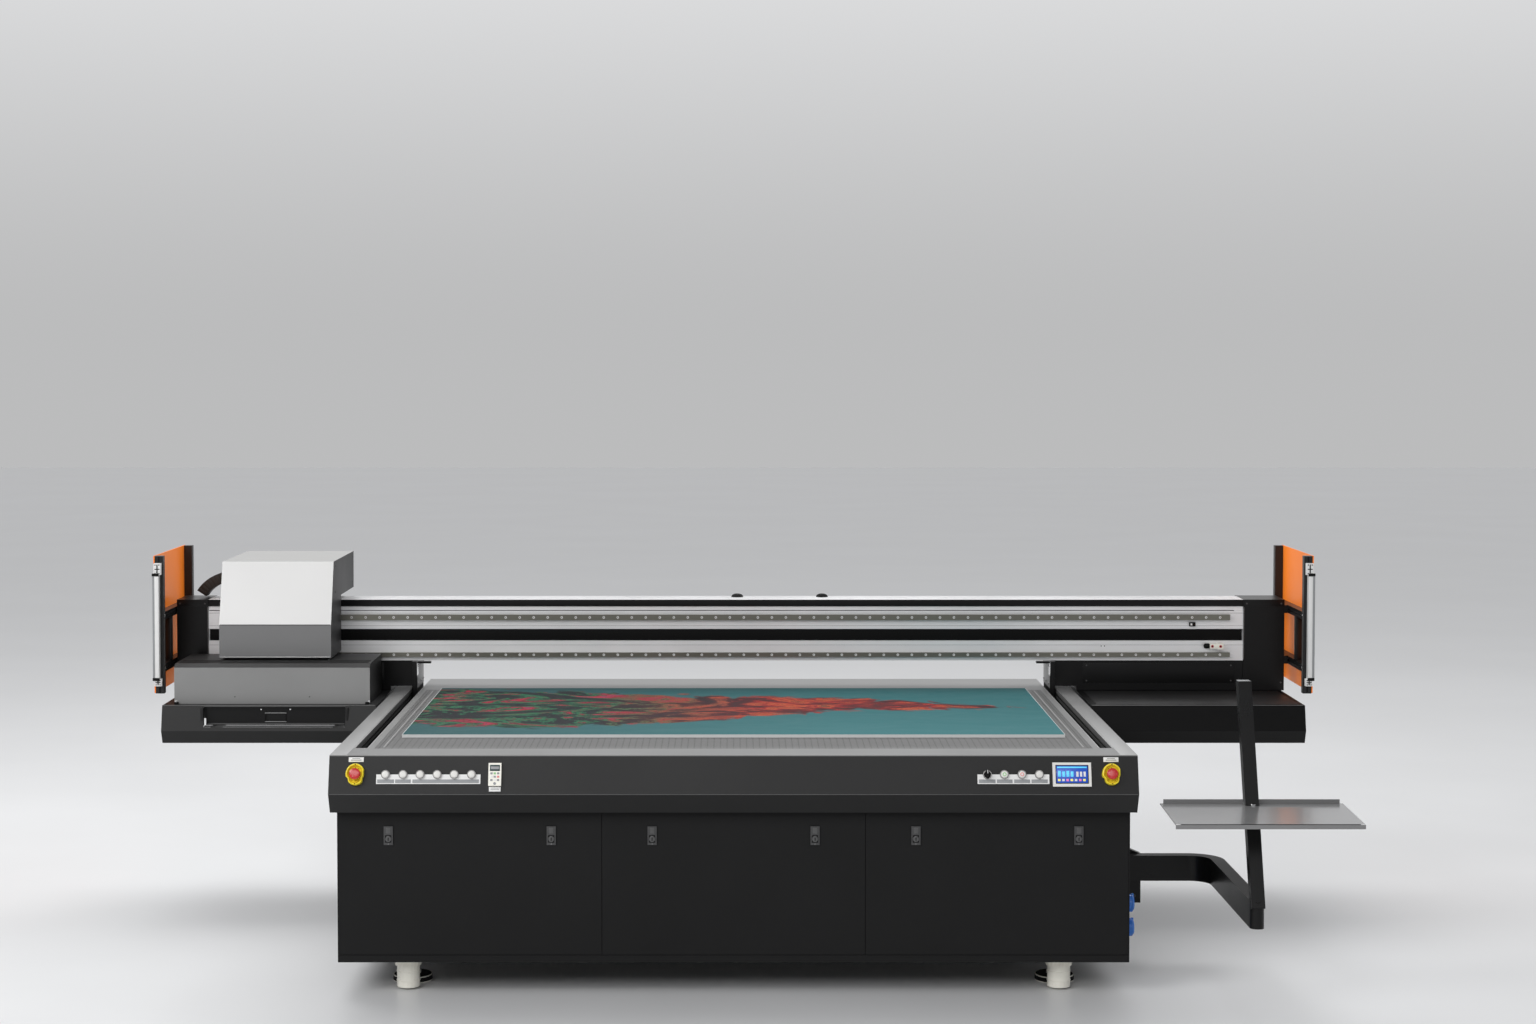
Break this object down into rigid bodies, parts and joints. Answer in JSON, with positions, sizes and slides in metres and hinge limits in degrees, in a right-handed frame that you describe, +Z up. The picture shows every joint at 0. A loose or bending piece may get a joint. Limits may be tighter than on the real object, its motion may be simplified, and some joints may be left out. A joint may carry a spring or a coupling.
{
  "type": "flatbed uv printer",
  "caption": "Large flatbed UV printer: a vacuum table on a steel cabinet, a gantry that runs along it, a print head that runs along the gantry, and a laptop shelf.",
  "frame": {"origin": "on the floor, under the middle of the whole printer's bounding box, gantry parked at the rear and head parked on the left", "axes": "+X to the operator's right along the gantry, -Y to the front where the control panel is, +Z up"},
  "size_m": [4.862, 2.6041, 1.47],
  "materials": {
    "painted_black": "satin black paint",
    "textured_black": "textured powder coat",
    "head_silver": "metallic silver paint",
    "station_grey": "satin grey paint",
    "brushed_aluminium": "brushed, clear anodised",
    "rail_steel": "ground bearing steel",
    "bed_aluminium": "machined grey anodised",
    "print_media": "printed foam board",
    "orange_pane": "tinted acrylic, glossy",
    "safety_yellow": "gloss",
    "signal_red": "gloss",
    "signal_green": "gloss",
    "warm_white": "satin moulded",
    "jack_cream": "gloss cream paint",
    "black_plastic": "matt moulded",
    "chain_brown": "ribbed moulded",
    "socket_blue": "moulded",
    "shelf_grey": "gloss grey paint",
    "blower_grey": "cast aluminium",
    "latch_steel": "zinc plated",
    "carriage_grey": "anodised"
  },
  "bodies": {
    "table": {"base_frame": "painted_black", "cabinet_shell": "painted_black", "control_fascia": "textured_black", "table_frame": "brushed_aluminium", "vacuum_bed": "bed_aluminium", "print_board": "print_media", "foot_front_left": "jack_cream", "foot_front_right": "jack_cream", "foot_rear_left": "jack_cream", "foot_rear_right": "jack_cream", "estop_guard_left": "safety_yellow", "estop_guard_right": "safety_yellow", "button_plate_left": "warm_white", "button_plate_right": "warm_white", "touch_screen": "warm_white", "pump_keypad": "warm_white", "shelf_stand": "painted_black", "laptop_shelf": "shelf_grey", "power_inlets": "socket_blue", "vacuum_blower": "blower_grey"},
    "gantry": {"gantry_beam": "brushed_aluminium", "head_rail_upper": "rail_steel", "head_rail_lower": "rail_steel", "gantry_wing_left": "painted_black", "gantry_wing_right": "painted_black", "end_cap_left": "painted_black", "end_cap_right": "painted_black", "wing_tray_left": "textured_black", "wing_tray_right": "textured_black", "guard_frame_left": "painted_black", "guard_frame_right": "painted_black", "guard_window_left": "orange_pane", "guard_window_right": "orange_pane", "cap_station": "station_grey"},
    "head": {"head_cover": "head_silver", "head_carriage": "brushed_aluminium", "cable_chain": "chain_brown"},
    "print_carriage": {"print_carriage": "carriage_grey"},
    "waste_drawer": {"waste_drawer": "painted_black"},
    "door_left": {"door_left": "painted_black"},
    "latch_left_a": {"latch_left_a": "latch_steel"},
    "latch_left_b": {"latch_left_b": "latch_steel"},
    "door_middle": {"door_middle": "painted_black"},
    "latch_middle_a": {"latch_middle_a": "latch_steel"},
    "latch_middle_b": {"latch_middle_b": "latch_steel"},
    "door_right": {"door_right": "painted_black"},
    "latch_right_a": {"latch_right_a": "latch_steel"},
    "latch_right_b": {"latch_right_b": "latch_steel"},
    "estop_button_left": {"estop_button_left": "signal_red"},
    "estop_button_right": {"estop_button_right": "signal_red"},
    "vacuum_button_1": {"vacuum_button_1": "warm_white"},
    "vacuum_button_2": {"vacuum_button_2": "warm_white"},
    "vacuum_button_3": {"vacuum_button_3": "warm_white"},
    "vacuum_button_4": {"vacuum_button_4": "warm_white"},
    "vacuum_button_5": {"vacuum_button_5": "warm_white"},
    "vacuum_button_6": {"vacuum_button_6": "warm_white"},
    "start_button": {"start_button": "signal_green"},
    "stop_button": {"stop_button": "signal_red"},
    "reset_button": {"reset_button": "warm_white"},
    "power_selector": {"power_selector": "black_plastic"}
  },
  "joints": [
    {"name": "gantry_slide", "type": "slide", "parent": "table", "child": "gantry", "axis": [0, -1, 0], "range_m": [0, 1.29]},
    {"name": "head_slide", "type": "slide", "parent": "gantry", "child": "head", "axis": [1, 0, 0], "range_m": [0, 3.69]},
    {"name": "print_carriage_lift", "type": "slide", "parent": "head", "child": "print_carriage", "axis": [0, 0, -1], "range_m": [0, 0.12]},
    {"name": "waste_drawer_slide", "type": "slide", "parent": "gantry", "child": "waste_drawer", "axis": [0, -1, 0], "range_m": [0, 0.28]},
    {"name": "door_left_tilt", "type": "hinge", "parent": "table", "child": "door_left", "pos_m": [-0.952, -0.83561, 0.149], "axis": [1, 0, 0], "range_deg": [0, 75]},
    {"name": "latch_left_a_turn", "type": "hinge", "parent": "door_left", "child": "latch_left_a", "pos_m": [-1.246, -0.83561, 0.57], "axis": [0, -1, 0], "range_deg": [0, 90]},
    {"name": "latch_left_b_turn", "type": "hinge", "parent": "door_left", "child": "latch_left_b", "pos_m": [-0.658, -0.83561, 0.57], "axis": [0, -1, 0], "range_deg": [0, 90]},
    {"name": "door_middle_tilt", "type": "hinge", "parent": "table", "child": "door_middle", "pos_m": [0, -0.83561, 0.149], "axis": [1, 0, 0], "range_deg": [0, 75]},
    {"name": "latch_middle_a_turn", "type": "hinge", "parent": "door_middle", "child": "latch_middle_a", "pos_m": [-0.294, -0.83561, 0.57], "axis": [0, -1, 0], "range_deg": [0, 90]},
    {"name": "latch_middle_b_turn", "type": "hinge", "parent": "door_middle", "child": "latch_middle_b", "pos_m": [0.294, -0.83561, 0.57], "axis": [0, -1, 0], "range_deg": [0, 90]},
    {"name": "door_right_tilt", "type": "hinge", "parent": "table", "child": "door_right", "pos_m": [0.952, -0.83561, 0.149], "axis": [1, 0, 0], "range_deg": [0, 75]},
    {"name": "latch_right_a_turn", "type": "hinge", "parent": "door_right", "child": "latch_right_a", "pos_m": [0.658, -0.83561, 0.57], "axis": [0, -1, 0], "range_deg": [0, 90]},
    {"name": "latch_right_b_turn", "type": "hinge", "parent": "door_right", "child": "latch_right_b", "pos_m": [1.246, -0.83561, 0.57], "axis": [0, -1, 0], "range_deg": [0, 90]},
    {"name": "estop_button_left_press", "type": "slide", "parent": "table", "child": "estop_button_left", "axis": [0, 0.9562, -0.2926], "range_m": [0, 0.006], "stiffness_N_per_m": 1500, "springref_m": -0.002},
    {"name": "estop_button_right_press", "type": "slide", "parent": "table", "child": "estop_button_right", "axis": [0, 0.9562, -0.2926], "range_m": [0, 0.006], "stiffness_N_per_m": 1500, "springref_m": -0.002},
    {"name": "vacuum_button_1_press", "type": "slide", "parent": "table", "child": "vacuum_button_1", "axis": [0, 0.9562, -0.2926], "range_m": [0, 0.0035], "stiffness_N_per_m": 400, "springref_m": -0.002},
    {"name": "vacuum_button_2_press", "type": "slide", "parent": "table", "child": "vacuum_button_2", "axis": [0, 0.9562, -0.2926], "range_m": [0, 0.0035], "stiffness_N_per_m": 400, "springref_m": -0.002},
    {"name": "vacuum_button_3_press", "type": "slide", "parent": "table", "child": "vacuum_button_3", "axis": [0, 0.9562, -0.2926], "range_m": [0, 0.0035], "stiffness_N_per_m": 400, "springref_m": -0.002},
    {"name": "vacuum_button_4_press", "type": "slide", "parent": "table", "child": "vacuum_button_4", "axis": [0, 0.9562, -0.2926], "range_m": [0, 0.0035], "stiffness_N_per_m": 400, "springref_m": -0.002},
    {"name": "vacuum_button_5_press", "type": "slide", "parent": "table", "child": "vacuum_button_5", "axis": [0, 0.9562, -0.2926], "range_m": [0, 0.0035], "stiffness_N_per_m": 400, "springref_m": -0.002},
    {"name": "vacuum_button_6_press", "type": "slide", "parent": "table", "child": "vacuum_button_6", "axis": [0, 0.9562, -0.2926], "range_m": [0, 0.0035], "stiffness_N_per_m": 400, "springref_m": -0.002},
    {"name": "start_button_press", "type": "slide", "parent": "table", "child": "start_button", "axis": [0, 0.9562, -0.2926], "range_m": [0, 0.0035], "stiffness_N_per_m": 400, "springref_m": -0.002},
    {"name": "stop_button_press", "type": "slide", "parent": "table", "child": "stop_button", "axis": [0, 0.9562, -0.2926], "range_m": [0, 0.0035], "stiffness_N_per_m": 400, "springref_m": -0.002},
    {"name": "reset_button_press", "type": "slide", "parent": "table", "child": "reset_button", "axis": [0, 0.9562, -0.2926], "range_m": [0, 0.0035], "stiffness_N_per_m": 400, "springref_m": -0.002},
    {"name": "power_selector_turn", "type": "hinge", "parent": "table", "child": "power_selector", "pos_m": [0.908, -0.90011, 0.813], "axis": [0, -0.9562, 0.2926], "range_deg": [0, 90]}
  ]
}
